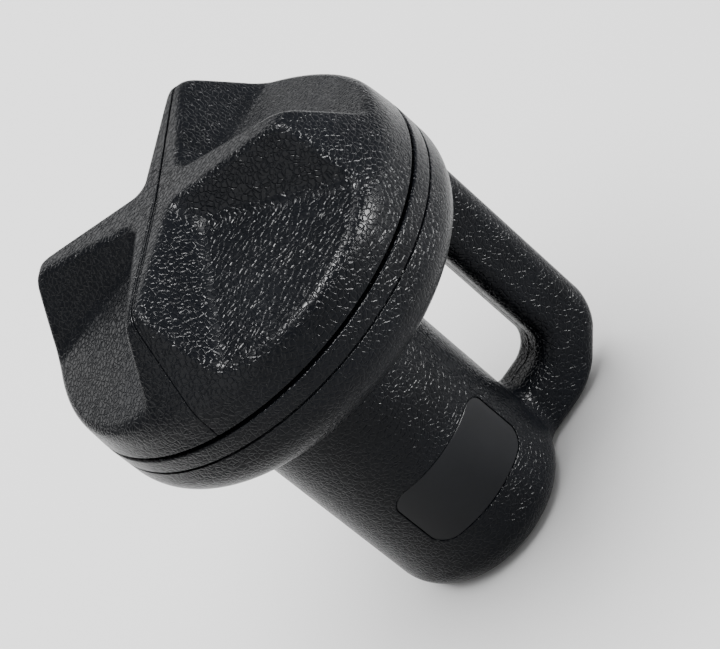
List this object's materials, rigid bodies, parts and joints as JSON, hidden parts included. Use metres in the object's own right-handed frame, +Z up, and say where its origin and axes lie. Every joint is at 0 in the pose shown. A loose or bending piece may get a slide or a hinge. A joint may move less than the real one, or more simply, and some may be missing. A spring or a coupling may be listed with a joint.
{
  "type": "kettlebell",
  "caption": "Hand kettlebell with a slim side-handled body, a wide weighted head and a four-armed grip cap that screws down on a central spindle.",
  "frame": {"origin": "on the axis of the wide head, at the level of the flat face that the body stands on", "axes": "+Z up from the base towards the grip cap, +X towards the handle, +Y to the handle's left seen from the body"},
  "size_m": [0.19, 0.19, 0.2325],
  "materials": {
    "shell_plastic": "pebble-grained black moulded plastic, semi-gloss",
    "cap_plastic": "pebble-grained black moulded plastic, semi-gloss",
    "label_plastic": "smooth satin black plastic, blank",
    "iron": "painted grey cast iron",
    "rubber": "matt black rubber",
    "steel": "machined steel",
    "zinc": "bright zinc-plated steel",
    "bronze": "plain bronze"
  },
  "bodies": {
    "base": {"body_shell_left": "shell_plastic", "body_shell_right": "shell_plastic", "bowl_screws": "zinc", "core_pad_1": "rubber", "core_pad_2": "rubber", "core_pad_3": "rubber", "core_top_pad": "rubber", "core_weight_1": "iron", "core_weight_2": "iron", "core_weight_3": "iron", "handle_rod": "steel", "handle_rod_nut": "zinc", "handle_rod_pin": "zinc", "label_plate": "label_plastic", "plate_pad_1": "rubber", "plate_pad_2": "rubber", "plate_pad_3": "rubber", "plate_pad_4": "rubber", "rear_bowl": "shell_plastic", "rim_ring": "shell_plastic", "ring_screws": "zinc", "spindle": "steel", "spindle_flange": "steel", "spindle_nut": "zinc", "spindle_washer": "zinc", "weight_plate_1": "iron", "weight_plate_2": "iron", "weight_plate_3": "iron", "weight_plate_4": "iron"},
    "clamp": {"clamp_plate": "steel", "thrust_washer": "bronze"},
    "cap": {"cap_half_left": "cap_plastic", "cap_half_right": "cap_plastic", "cap_plate": "steel", "cap_nut": "steel", "cap_screws": "zinc", "nut_screws": "zinc", "cap_seal": "rubber"}
  },
  "joints": [
    {"name": "clamp_slide", "type": "slide", "parent": "base", "child": "clamp", "axis": [0, 0, 1], "range_m": [0, 0.0101]},
    {"name": "cap_turn", "type": "hinge", "parent": "clamp", "child": "cap", "pos_m": [0, 0, 0.1776], "axis": [0, 0, 1], "range_deg": [0, 900]}
  ],
  "couplings": [
    {"joint": "clamp_slide", "follows": "cap_turn", "m_per_rad": 0.00063662}
  ]
}
